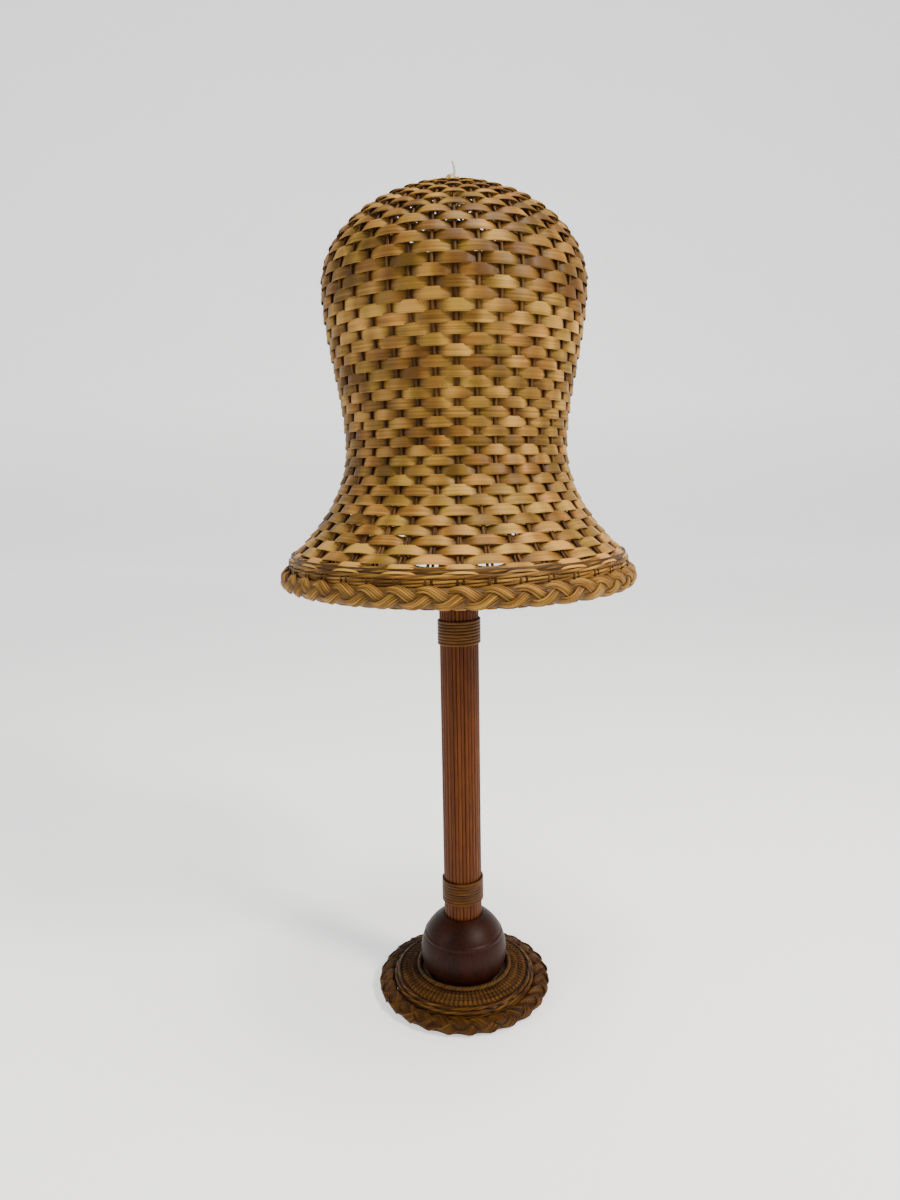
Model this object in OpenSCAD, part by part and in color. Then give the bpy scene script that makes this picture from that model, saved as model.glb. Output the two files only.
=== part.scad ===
// Wicker table lamp: a reeded rattan pole on a turned wooden ball and a woven round foot,
// with a bell-shaped woven shade that hangs on a wire harp over a screw-in lamp bulb.
// Millimetres. The origin is the centre of the foot's underside, and +Z is up.

/* [Foot] */
// Outside diameter of the foot, over its braided edge
foot_d = 232; // [225:1:260]
// Thickness of the wooden board inside the foot
board_t = 18; // [16:1:22]
// Width of the braided edge, seen from above
edge_braid_w = 24; // [20:0.5:26]
// Height of the braided edge
edge_braid_h = 17; // [15:0.5:20]
// Thickness of the felt under the board
felt_t = 2; // [1.5:0.5:3]

/* [Ball] */
// Diameter of the turned ball
ball_d = 116; // [110:1:122]
// Height of the ball's centre above the board
ball_rise = 34.5; // [31:0.5:37]

/* [Pole] */
// Diameter over the split reeds
pole_d = 51; // [46:1:54]
// Height of the pole's top above the table
pole_top = 655; // [620:5:670]
// Number of split reeds round the pole
reed_count = 32; // [24:1:36]
// Turns of cane in the lower binding
low_turns = 9; // [6:1:12]
// Height of the lower binding's bottom edge
low_binding_z = 124; // [115:1:200]
// Turns of cane in the upper binding
high_turns = 9; // [6:1:12]
// Height of the upper binding's bottom edge
high_binding_z = 477; // [400:1:500]

/* [Shade] */
// Height of the rim's underside above the table
rim_z = 557; // [520:1:575]
// Height of the rim's braid
rim_braid_h = 28; // [24:1:32]
// Width of the rim's braid, from inside to outside
rim_braid_w = 25; // [20:1:28]
// Outside radius of the weave where the skirt meets the rim
skirt_r = 211; // [190:1:222]
// Outside radius at the waist
waist_r = 137; // [120:0.2:145]
// Outside radius at the widest place above the waist
belly_r = 159.2; // [150:0.2:170]
// Height from the skirt's lower edge to the waist
skirt_h = 134; // [110:1:150]
// Height from the waist to the widest place
body_h = 182; // [170:1:195]
// Height of the dome over the widest place
dome_h = 118; // [100:1:125]
// Thickness of the weave, over spoke and weavers together
weave_t = 6.6; // [6:0.1:8]
// Number of spokes
spoke_count = 40; // [24:2:48]
// Diameter of a spoke
spoke_d = 3.4; // [2.5:0.1:4]

/* [Harp and lamp holder] */
// Diameter of the harp's wire
wire_d = 4; // [3:0.2:4.4]
// Half the harp's width at its sides, to the wire's centre
harp_half_w = 58; // [50:1:70]
// Outside diameter of the bulb's glass
bulb_d = 60; // [50:1:62]
// Outside diameter of the threaded rod
rod_d = 10; // [10:0.1:10.4]

/* [Hidden] */
$fn = 96;
gap = 0.2;                    // between pieces that lie against each other
running = 0.06;               // radial clearance of a shaft that turns

// Foot
board_r = foot_d / 2 - edge_braid_w - 3;
board_top = felt_t + board_t;
weight_r = 70;
weight_t = 6;
weight_hole_r = 20;
nut_pocket_r = 18;
nut_pocket_t = 12;
wale_strand_r = 2.5;
cover_r = board_r - wale_strand_r - 0.4;
foot_ring_r = 3.7;
foot_ring_mid_r = ball_d / 2 + 2.8;
cover_inner_r = foot_ring_mid_r + foot_ring_r + gap;

// Ball
ball_z = board_top + ball_rise;
pole_r = pole_d / 2;
ball_top = ball_z + sqrt(pow(ball_d / 2, 2) - pow(pole_r + 1.5, 2));
pole_bottom = ball_top - 10;
bead_z = 25;                  // shoulder line, above the ball's centre
outlet_z = ball_z - 8;
bushing_r = 6;
bushing_bore_r = 3.6;
bushing_len = 14;
lead_hole_r = 4.6;            // way for the lead from the bushing to the rod

// Pole
rod_r = rod_d / 2;
rod_bore_r = 3.5;
rod_bottom = felt_t + 3;
reed_r = PI * pole_r / reed_count * 0.98;
core_r = pole_r - reed_r - 0.6;
cane_pitch = 4;
cane_t = 2.2;
cap_t = 6;
cap_top = pole_top + cap_t;

// Saddle and harp
saddle_t = 2;
arm_x = 28;                   // middle of the saddle's upright arms
arm_w = 10;
arm_h = 11;
tip_w = 3;
tip_t = 1.6;
tip_h = 14;
leg_x = 30.9;                 // the harp wire's centre beside the arm's tip
leg_bottom = cap_top + 7;
leg_straight = 38;
bend_r = 30;
wire_r = wire_d / 2;
ferrule_z = cap_top + arm_h + 0.5;
ferrule_h = 15;
wale_h = 10;
crown_z = rim_z + rim_braid_h + wale_h + skirt_h + body_h + dome_h;
seat_z = crown_z - weave_t - 2.6;       // top of the plate that the shade rests on
seat_r = 14;
seat_t = 2;
hub_r = 6;
hub_h = 7.4;
hub_top = seat_z - seat_t - 0.3;
harp_top = hub_top - hub_h / 2;
pivot_r = 2.5;
stud_r = 3;
stud_top = crown_z + 9.2;

// Lamp holder, measured up from the saddle nut
nut_t = 4;
holder_z = cap_top + saddle_t + nut_t + gap;
holder_cap_h = 18;
holder_r = 17.5;
shell_h = 50;
shell_z = holder_z + holder_cap_h - 4;
shell_top = shell_z + shell_h;
thread_r = 13.3;              // inside of the screw shell
thread_h = 27;
bulb_base_r = thread_r - 0.3;
body_t = 17;                  // thickness of the insulating block
contact_h = 1.2;
bulb_bottom = shell_z + 1.8 + body_t + contact_h + gap;
key_r = 2;
key_boss_r = 4;
key_z = shell_z + 9.5;
glass_z = shell_top - 2;
glass_mid_z = glass_z + 72;

// Shade outline
braid_mid_r = skirt_r - 1;
wale_z = rim_z + rim_braid_h;
wale_r = 2.45;
skirt_z = wale_z + wale_h;
waist_z = skirt_z + skirt_h;
belly_z = waist_z + body_h;
skirt_power = 2.05;           // how late the skirt flares
outline_steps = 6;            // straight steps in each third of the outline
crown_hole_r = 4;
spoke_layer = spoke_d;
washer_r = 18;
washer_t = 1.5;
plate_z = crown_z + 0.3;
plate_t = 0.9;
finial_z = plate_z + plate_t + gap;
finial_r = 8;
finial_neck_r = 4.6;
finial_knob_r = 5.3;
finial_h = 12.4;
tie_d = 3;                    // diameter of the cotton tie
tie_z = finial_z + 4.6;
tail_bend_r = 21.5;

// Outline of the shade's outer side, as [radius, height], for t from 0 at the skirt's edge to 3 at the crown
function outline(t) =
    t < 1 ? [waist_r + (skirt_r - waist_r) * pow(1 - t, skirt_power), skirt_z + skirt_h * t] :
    t < 2 ? [waist_r + (belly_r - waist_r) * (3 - 2 * (t - 1)) * pow(t - 1, 2), waist_z + body_h * (t - 1)] :
    [belly_r * cos(90 * (t - 2)), belly_z + dome_h * sin(90 * (t - 2))];

// The outline's unit normal at t, pointing out of the shade
function outline_normal(t) =
    let (step = outline(min(t + 0.01, 3)) - outline(max(t - 0.01, 0)), side = [step[1], -step[0]])
    side / norm(side);

// The outline moved inwards by depth, from the skirt's edge to the crown
function outline_points(depth) = [
    for (i = [0 : 3 * outline_steps])
        let (t = i / outline_steps, p = outline(t) - depth * outline_normal(t))
        [max(p[0], 0), i == 0 ? skirt_z : p[1]]
];

// Points of an oval, for a cord or a braid seen in section
function oval(mid, half_w, half_h, steps = 20) = [
    for (i = [0 : steps - 1])
        let (a = 360 * i / steps, c = cos(a), s = sin(a))
        mid + [half_w * sign(c) * pow(abs(c), 0.8), half_h * sign(s) * pow(abs(s), 0.8)]
];

function reversed(list) = [for (i = [len(list) - 1 : -1 : 0]) list[i]];

// A flat ring lying at height z
module ring(outer_r, inner_r, z, height) {
    translate([0, 0, z])
        difference() {
            cylinder(r = outer_r, h = height);
            translate([0, 0, -1]) cylinder(r = inner_r, h = height + 2);
        }
}

// A round strand bent into a circle
module hoop(mid_r, strand_r, z) {
    translate([0, 0, z]) rotate_extrude() translate([mid_r, 0]) circle(r = strand_r, $fn = 32);
}

// A layer of the shade between two depths under its outer side
module shade_layer(depth_out, depth_in) {
    rotate_extrude() polygon(concat(outline_points(depth_out), reversed(outline_points(depth_in))));
}

// Cane wound round the pole: each turn is a shallow arch in section
module cane_binding(z, turns) {
    arch = 0.8;
    arch_r = (pow(cane_pitch / 2, 2) + arch * arch) / (2 * arch);
    inner_r = pole_r + gap;
    rotate_extrude()
        for (i = [0 : turns - 1])
            intersection() {
                translate([inner_r + cane_t - arch_r, z + (i + 0.5) * cane_pitch]) circle(r = arch_r);
                translate([inner_r, z + i * cane_pitch]) square([cane_t + 1, cane_pitch]);
            }
}

// ---- Foot ----

module felt_pad() {
    color("darkolivegreen") cylinder(r = board_r - 2, h = felt_t);
}

module base_weight() {
    color("dimgray") ring(weight_r, weight_hole_r, felt_t, weight_t);
}

module base_board() {
    color("burlywood")
        difference() {
            translate([0, 0, felt_t]) cylinder(r = board_r, h = board_t);
            translate([0, 0, felt_t - 1]) cylinder(r = weight_r + gap, h = weight_t + 1 + gap);
            translate([0, 0, felt_t - 1]) cylinder(r = nut_pocket_r, h = nut_pocket_t + 1);
            cylinder(r = rod_r + gap, h = 2 * board_top);
        }
}

module base_cover() {
    rim_h = 4.2;
    crown_h = 9.8;
    color("sienna")
        rotate_extrude()
            polygon([
                [cover_inner_r, board_top],
                [cover_r, board_top],
                [cover_r, board_top + rim_h - 1.2],
                [cover_r - 1.6, board_top + rim_h],
                [cover_r - 14, board_top + rim_h + 3.2],
                [cover_inner_r + 1.5, board_top + crown_h],
                [cover_inner_r, board_top + crown_h]
            ]);
}

module base_wale() {
    color("peru") hoop(board_r, wale_strand_r, board_top + wale_strand_r + 0.1);
}

module base_braid() {
    mid = [foot_d / 2 - edge_braid_w / 2, 1 + edge_braid_h / 2];
    color("saddlebrown") rotate_extrude() polygon(oval(mid, edge_braid_w / 2, edge_braid_h / 2));
}

module foot_ring() {
    color("tan")
        for (level = [1, 2.8]) hoop(foot_ring_mid_r, foot_ring_r, board_top + level * foot_ring_r + 0.1);
}

// ---- Ball ----

module wood_ball() {
    color([0.26, 0.11, 0.05])
        difference() {
            union() {
                translate([0, 0, ball_z]) sphere(r = ball_d / 2);
                hoop(sqrt(pow(ball_d / 2, 2) - pow(bead_z, 2)) - 1.2, 2, ball_z + bead_z);
            }
            translate([-ball_d, -ball_d, board_top - ball_d]) cube([2 * ball_d, 2 * ball_d, ball_d]);
            translate([-ball_d, -ball_d, ball_top]) cube([2 * ball_d, 2 * ball_d, ball_d]);
            translate([0, 0, pole_bottom]) cylinder(r = pole_r + gap, h = ball_d);
            cylinder(r = rod_r + gap, h = 2 * ball_d);
            translate([0, 0, outlet_z]) rotate([-90, 0, 0]) cylinder(r = lead_hole_r, h = ball_d);
            translate([0, ball_d / 2 - bushing_len - 1, outlet_z])
                rotate([-90, 0, 0]) cylinder(r = bushing_r + 0.05, h = ball_d);
        }
}

module cord_bushing() {
    flange_t = 2;
    flange_r = bushing_r + 2.5;
    color("saddlebrown")
        translate([0, ball_d / 2 - bushing_len, outlet_z])
            rotate([-90, 0, 0])
                difference() {
                    union() {
                        translate([0, 0, -0.8]) cylinder(r = bushing_r, h = bushing_len + 0.8);
                        translate([0, 0, bushing_len + 0.1]) cylinder(r = flange_r, h = flange_t);
                        cylinder(r = bushing_r, h = bushing_len + flange_t);
                    }
                    translate([0, 0, -2]) cylinder(r = bushing_bore_r, h = bushing_len + flange_t + 4);
                }
}

// ---- Rod and pole ----

module lamp_rod() {
    rod_top = holder_z + 10;
    color("goldenrod")
        difference() {
            translate([0, 0, rod_bottom]) cylinder(r = rod_r, h = rod_top - rod_bottom);
            cylinder(r = rod_bore_r, h = rod_top + 1);
            translate([0, 0, outlet_z]) rotate([-90, 0, 0]) cylinder(r = rod_bore_r - 0.5, h = 2 * rod_r);
        }
}

module bottom_washer() {
    washer_bottom = felt_t + nut_pocket_t - 2;
    color("silver") ring(nut_pocket_r - 2, rod_r + 0.1, washer_bottom, 2);
}

module bottom_nut() {
    color("silver")
        translate([0, 0, felt_t + nut_pocket_t - 7 - gap])
            difference() {
                cylinder(r = 9, h = 5, $fn = 6);
                translate([0, 0, -1]) cylinder(r = rod_r + 0.02, h = 7);
            }
}

module pole_core() {
    color("wheat") ring(core_r, rod_r + gap, pole_bottom + gap, pole_top - pole_bottom - 2 * gap);
}

module pole_reeds() {
    color("chocolate")
        translate([0, 0, pole_bottom + gap])
            linear_extrude(height = pole_top - pole_bottom - 2 * gap)
                difference() {
                    union() {
                        circle(r = pole_r - reed_r * 0.55);
                        for (i = [0 : reed_count - 1])
                            rotate(i * 360 / reed_count) translate([pole_r - reed_r, 0]) circle(r = reed_r, $fn = 24);
                    }
                    circle(r = core_r + 0.02);
                }
}

module bottom_binding() {
    color("goldenrod") cane_binding(low_binding_z, low_turns);
}

module top_binding() {
    color([0.24, 0.17, 0.1]) cane_binding(high_binding_z, high_turns);
}

module pole_cap() {
    color("saddlebrown")
        difference() {
            union() {
                translate([0, 0, pole_top]) cylinder(r = pole_r + 1.5, h = cap_t - 2);
                translate([0, 0, cap_top - 2]) cylinder(r1 = pole_r + 1.5, r2 = pole_r - 0.5, h = 2);
            }
            cylinder(r = rod_r + gap, h = 2 * pole_top);
        }
}

// ---- Saddle, harp and lamp holder ----

module harp_saddle() {
    color("goldenrod")
        difference() {
            union() {
                translate([0, 0, cap_top]) cylinder(r = 15, h = saddle_t);
                translate([-arm_x, -arm_w / 2, cap_top]) cube([2 * arm_x, arm_w, saddle_t]);
                for (side = [0, 1])
                    mirror([side, 0, 0]) {
                        translate([arm_x - 1, -arm_w / 2, cap_top]) cube([tip_t, arm_w, arm_h]);
                        translate([arm_x - 1, -tip_w / 2, cap_top]) cube([tip_t, tip_w, arm_h + tip_h]);
                    }
            }
            cylinder(r = rod_r + 0.1, h = 2 * pole_top);
        }
}

module saddle_nut() {
    color("silver")
        translate([0, 0, cap_top + saddle_t])
            difference() {
                cylinder(r = 9, h = nut_t, $fn = 6);
                translate([0, 0, -1]) cylinder(r = rod_r + 0.02, h = nut_t + 2);
            }
}

module socket_cap() {
    hub = 7.5;
    color("gold")
        difference() {
            union() {
                translate([0, 0, holder_z]) cylinder(r = hub, h = holder_cap_h - 4);
                translate([0, 0, holder_z + 5]) cylinder(r1 = hub, r2 = holder_r + 1, h = 9);
                translate([0, 0, holder_z + 14]) cylinder(r = holder_r + 1, h = holder_cap_h - 14);
            }
            cylinder(r = rod_r + 0.02, h = 2 * pole_top);
            translate([0, 0, holder_z + 7]) cylinder(r1 = hub - 1.4, r2 = holder_r - 0.2, h = 7.1);
            translate([0, 0, holder_z + 14]) cylinder(r = holder_r + gap, h = holder_cap_h);
        }
}

module socket_shell() {
    wall = 0.7;
    color("gold")
        difference() {
            union() {
                translate([0, 0, shell_z]) cylinder(r = holder_r, h = shell_h);
                for (level = [0.34, 0.8]) hoop(holder_r - 0.2, 0.9, shell_z + level * shell_h + 6);
            }
            translate([0, 0, shell_z - 1]) cylinder(r = holder_r - wall, h = shell_h + 2);
            translate([0, 0, key_z]) rotate([90, 0, 0]) cylinder(r = key_boss_r + gap, h = 2 * holder_r);
        }
}

module socket_liner() {
    outer_r = holder_r - 0.9;
    color("wheat")
        difference() {
            translate([0, 0, shell_z + 1]) cylinder(r = outer_r, h = shell_h - 1.5);
            translate([0, 0, shell_z]) cylinder(r = outer_r - 0.8, h = shell_h + 2);
            translate([0, 0, key_z]) rotate([90, 0, 0]) cylinder(r = key_boss_r + gap, h = 2 * holder_r);
        }
}

module socket_body() {
    color("ivory")
        difference() {
            union() {
                translate([0, 0, shell_z + 1]) cylinder(r = holder_r - 2, h = body_t);
                translate([0, 0, key_z]) rotate([90, 0, 0]) cylinder(r = key_boss_r, h = holder_r + 2);
            }
            translate([0, 0, key_z]) rotate([90, 0, 0]) cylinder(r = key_r + running, h = 2 * holder_r);
        }
}

module screw_shell() {
    color("gold") ring(thread_r + 0.8, thread_r, shell_top - thread_h - 0.5, thread_h);
}

module centre_contact() {
    color("gold") {
        translate([-2, -4, shell_z + 1 + body_t]) cube([4, 12, 0.8]);
        translate([0, 0, shell_z + 1.8 + body_t]) cylinder(r = 3, h = contact_h);
    }
}

module switch_key() {
    shaft_len = holder_r + 14;
    key_w = 13;
    key_t = 2.4;
    color("black")
        union() {
            translate([0, -4, key_z]) rotate([90, 0, 0]) cylinder(r = key_r, h = shaft_len - 4);
            translate([0, -holder_r - 4, key_z]) rotate([90, 0, 0]) cylinder(r = 3.4, h = 10);
            translate([-key_w / 2, -holder_r - 25, key_z - key_t / 2]) cube([key_w, 14, key_t]);
            for (side = [-1, 1])
                translate([side * key_w / 2, -holder_r - 18, key_z - key_t / 2]) cylinder(r = 7, h = key_t);
        }
}

// ---- Bulb ----

module bulb_tip() {
    color("silver")
        union() {
            translate([0, 0, bulb_bottom]) cylinder(r1 = 3.5, r2 = 5, h = 1.4);
            translate([0, 0, bulb_bottom + 1.4]) cylinder(r = 5, h = 1.5);
        }
}

module bulb_base() {
    color("silver")
        difference() {
            translate([0, 0, bulb_bottom + 1.6]) {
                cylinder(r1 = 8, r2 = bulb_base_r, h = 3);
                translate([0, 0, 3]) cylinder(r = bulb_base_r, h = glass_z - bulb_bottom - 4.6);
            }
            translate([0, 0, bulb_bottom]) cylinder(r = 5 + running, h = 3.2);
            translate([0, 0, bulb_bottom + 5.6]) cylinder(r = bulb_base_r - 0.6, h = thread_h + 10);
        }
}

module bulb_glass() {
    color([1, 1, 0.94, 0.5])
        rotate_extrude()
            difference() {
                glass_outline(0);
                glass_outline(1);
                translate([-bulb_d, glass_z - bulb_d]) square([bulb_d, 4 * bulb_d]);
            }
}

// Half section of the bulb's glass, drawn in by depth
module glass_outline(depth) {
    neck_r = bulb_base_r - 0.8;
    r = bulb_d / 2 - depth;
    polygon(concat(
        [[0, glass_z - 8 + depth], [neck_r - depth, glass_z - 8 + depth], [neck_r - depth, glass_z + 3]],
        [for (a = [-40 : 10 : 80]) [r * cos(a), glass_mid_z + r * sin(a)]],
        [[0, glass_mid_z + r]]
    ));
}

// ---- Harp ----

// Middle line of half the harp's wire as [x, z], from beside the saddle's arm to the hub
function harp_path() =
    let (
        turn = acos(1 - (harp_half_w - leg_x) / (2 * bend_r)),
        bend_z = leg_bottom + leg_straight,
        side_z = bend_z + 2 * bend_r * sin(turn),
        arch_z = harp_top - harp_half_w,
        last = asin((hub_r - 1.5) / harp_half_w)
    )
    concat(
        [[leg_x, leg_bottom]],
        [for (i = [0 : 5]) let (a = turn * i / 5) [leg_x + bend_r * (1 - cos(a)), bend_z + bend_r * sin(a)]],
        [for (i = [4 : -1 : 0]) let (a = turn * i / 5) [harp_half_w - bend_r * (1 - cos(a)), side_z - bend_r * sin(a)]],
        [for (i = [0 : 12]) let (a = (90 - last) * i / 12) [harp_half_w * cos(a), arch_z + harp_half_w * sin(a)]]
    );

// A round wire along a path in the XZ plane
module wire(path, r, sides = 12) {
    last = len(path) - 1;
    points = [
        for (i = [0 : last])
            let (
                step = path[min(i + 1, last)] - path[max(i - 1, 0)],
                across = [-step[1], 0, step[0]] / norm(step)
            )
            for (k = [0 : sides - 1])
                let (a = 360 * k / sides)
                [path[i][0], 0, path[i][1]] + r * (cos(a) * across + sin(a) * [0, 1, 0])
    ];
    walls = [
        for (i = [0 : last - 1])
            for (k = [0 : sides - 1])
                let (next = (k + 1) % sides)
                [i * sides + k, i * sides + next, (i + 1) * sides + next, (i + 1) * sides + k]
    ];
    ends = [
        [for (k = [sides - 1 : -1 : 0]) k],
        [for (k = [0 : sides - 1]) last * sides + k]
    ];
    polyhedron(points, concat(walls, ends));
}

module harp() {
    color("goldenrod")
        for (side = [0, 1]) mirror([side, 0, 0]) wire(harp_path(), wire_r);
}

// The brazed ring at the top of the harp, in which the stud turns
module harp_hub() {
    color("goldenrod") ring(hub_r, pivot_r + running, hub_top - hub_h, hub_h);
}

// A sleeve that slides on the harp's leg and locks it to the saddle's tip
module harp_ferrule() {
    inner_r = 2.6;
    wall = 1;
    translate([0, 0, ferrule_z])
        linear_extrude(height = ferrule_h)
            difference() {
                stadium(leg_x - 2, leg_x, inner_r + wall);
                stadium(leg_x - 2, leg_x, inner_r);
            }
}

// A slot shape from x1 to x2 with round ends
module stadium(x1, x2, r) {
    translate([x1, 0]) circle(r = r);
    translate([x2, 0]) circle(r = r);
    translate([x1, -r]) square([x2 - x1, 2 * r]);
}

module harp_ferrule_left() {
    color("gold") mirror([1, 0, 0]) harp_ferrule();
}

module harp_ferrule_right() {
    color("gold") harp_ferrule();
}

module harp_stud() {
    head_t = 2;
    pivot_bottom = hub_top - hub_h - gap;
    color("gold")
        union() {
            translate([0, 0, pivot_bottom - head_t]) cylinder(r = 4.5, h = head_t);
            translate([0, 0, pivot_bottom]) cylinder(r = pivot_r, h = seat_z - pivot_bottom - 1);
            translate([0, 0, seat_z - seat_t]) cylinder(r = seat_r, h = seat_t);
            translate([0, 0, seat_z]) cylinder(r = stud_r, h = stud_top - seat_z);
        }
}

// ---- Shade ----

module crown_washer() {
    color("goldenrod") ring(washer_r, stud_r + gap, seat_z + gap, washer_t);
}

module shade_spokes() {
    color("tan")
        intersection() {
            shade_layer(weave_t - spoke_layer + 0.05, weave_t);
            union()
                for (i = [0 : spoke_count / 2 - 1])
                    rotate(i * 360 / spoke_count)
                        translate([-skirt_r - 1, -spoke_d / 2, skirt_z]) cube([2 * skirt_r + 2, spoke_d, crown_z]);
            ring(skirt_r + 1, washer_r, 0, crown_z);
        }
}

module shade_weave() {
    color([0.75, 0.56, 0.32])
        difference() {
            shade_layer(0, weave_t - spoke_layer);
            cylinder(r = crown_hole_r, h = 2 * crown_z);
        }
}

module shade_wale() {
    color("peru")
        rotate_extrude() polygon(oval([skirt_r - wale_r, wale_z + wale_h / 2], wale_r, wale_h / 2 - 0.1));
}

module shade_rim_braid() {
    mid = [braid_mid_r, rim_z + rim_braid_h / 2];
    color([0.6, 0.42, 0.2]) rotate_extrude() polygon(oval(mid, rim_braid_w / 2, rim_braid_h / 2 - 0.1));
}

module crown_plate() {
    color("goldenrod") ring(14, stud_r + gap, plate_z, plate_t);
}

module crown_nut() {
    foot_h = 2.6;
    neck_h = 4.2;
    color("gold")
        difference() {
            union() {
                translate([0, 0, finial_z]) cylinder(r = finial_r, h = foot_h);
                translate([0, 0, finial_z]) cylinder(r = finial_neck_r, h = finial_h - 1);
                translate([0, 0, finial_z + foot_h + neck_h])
                    cylinder(r = finial_knob_r, h = finial_h - foot_h - neck_h - 2);
                translate([0, 0, finial_z + finial_h - 2]) cylinder(r1 = finial_knob_r, r2 = finial_knob_r - 2, h = 2);
            }
            translate([0, 0, finial_z - 1]) cylinder(r = stud_r + running, h = finial_h - 1.6);
        }
}

// A cotton tie round the nut's neck, knotted, with a short stiff tail
module crown_cord() {
    strand_r = tie_d / 2;
    hoop_r = finial_neck_r + strand_r + gap;
    knot = [0, -hoop_r - 0.8, tie_z];
    lean = 28;
    color("whitesmoke")
        union() {
            hoop(hoop_r, strand_r, tie_z);
            translate(knot) sphere(r = strand_r + 0.7);
            translate(knot - [tail_bend_r * cos(lean), 0, -tail_bend_r * sin(lean)])
                rotate([90, lean, 0])
                    rotate_extrude(angle = 2 * lean)
                        translate([tail_bend_r, 0]) circle(r = strand_r);
        }
}

felt_pad();
base_weight();
base_board();
base_cover();
base_wale();
base_braid();
foot_ring();
wood_ball();
cord_bushing();
lamp_rod();
bottom_washer();
bottom_nut();
pole_core();
pole_reeds();
bottom_binding();
top_binding();
pole_cap();
harp_saddle();
saddle_nut();
socket_cap();
socket_shell();
socket_liner();
socket_body();
screw_shell();
centre_contact();
switch_key();
bulb_tip();
bulb_base();
bulb_glass();
harp();
harp_ferrule_left();
harp_ferrule_right();
harp_hub();
harp_stud();
crown_washer();
shade_spokes();
shade_weave();
shade_wale();
shade_rim_braid();
crown_plate();
crown_nut();
crown_cord();
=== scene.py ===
import math

import bpy
import numpy as np
from mathutils import Matrix, Vector


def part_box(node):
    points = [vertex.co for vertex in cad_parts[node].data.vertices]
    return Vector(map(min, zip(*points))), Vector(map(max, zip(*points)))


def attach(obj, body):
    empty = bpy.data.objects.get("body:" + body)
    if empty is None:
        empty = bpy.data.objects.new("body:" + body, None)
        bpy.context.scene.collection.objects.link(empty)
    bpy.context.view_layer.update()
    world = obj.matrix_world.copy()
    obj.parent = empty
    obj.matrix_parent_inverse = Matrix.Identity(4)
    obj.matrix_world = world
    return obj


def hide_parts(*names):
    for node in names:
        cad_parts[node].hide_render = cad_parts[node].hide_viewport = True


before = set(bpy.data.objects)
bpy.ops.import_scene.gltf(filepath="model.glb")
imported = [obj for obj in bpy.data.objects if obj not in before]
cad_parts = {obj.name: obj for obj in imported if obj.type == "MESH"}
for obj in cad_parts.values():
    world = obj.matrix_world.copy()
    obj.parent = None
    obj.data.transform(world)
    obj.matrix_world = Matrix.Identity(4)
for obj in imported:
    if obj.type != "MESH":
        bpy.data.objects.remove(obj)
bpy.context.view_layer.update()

MM = 0.001
TAU = 2 * math.pi
rng = np.random.default_rng(7)


# ---------------------------------------------------------------- places, from the frame

def low(node):
    return np.array(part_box(node)[0])


def high(node):
    return np.array(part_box(node)[1])


# The shade's outline: a flared skirt, a waist, a belly and a dome
SKIRT_R = high("shade_weave")[0]
SKIRT_Z = low("shade_weave")[2]
CROWN_Z = low("crown_plate")[2] - 0.3 * MM
WAIST_R = 137 * MM
BELLY_R = 159.2 * MM
SKIRT_H = 134 * MM
DOME_H = 118 * MM
WAIST_Z = SKIRT_Z + SKIRT_H
BELLY_Z = CROWN_Z - DOME_H
SKIRT_POWER = 2.05
SPOKES = 40
SPOKE_R = 1.7 * MM
WEAVE_DEPTH = 3.5 * MM          # from the outline in to the spokes' middle
WEAVE_SWING = 2.15 * MM         # how far a weaver goes out and in past the spokes' middle
REED_T = 1.6 * MM
NUT_NECK_R = 4.6 * MM           # the crown nut's neck, which the cotton tie goes round
WELD = 0.005 * MM


# ---------------------------------------------------------------- mesh building

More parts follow.
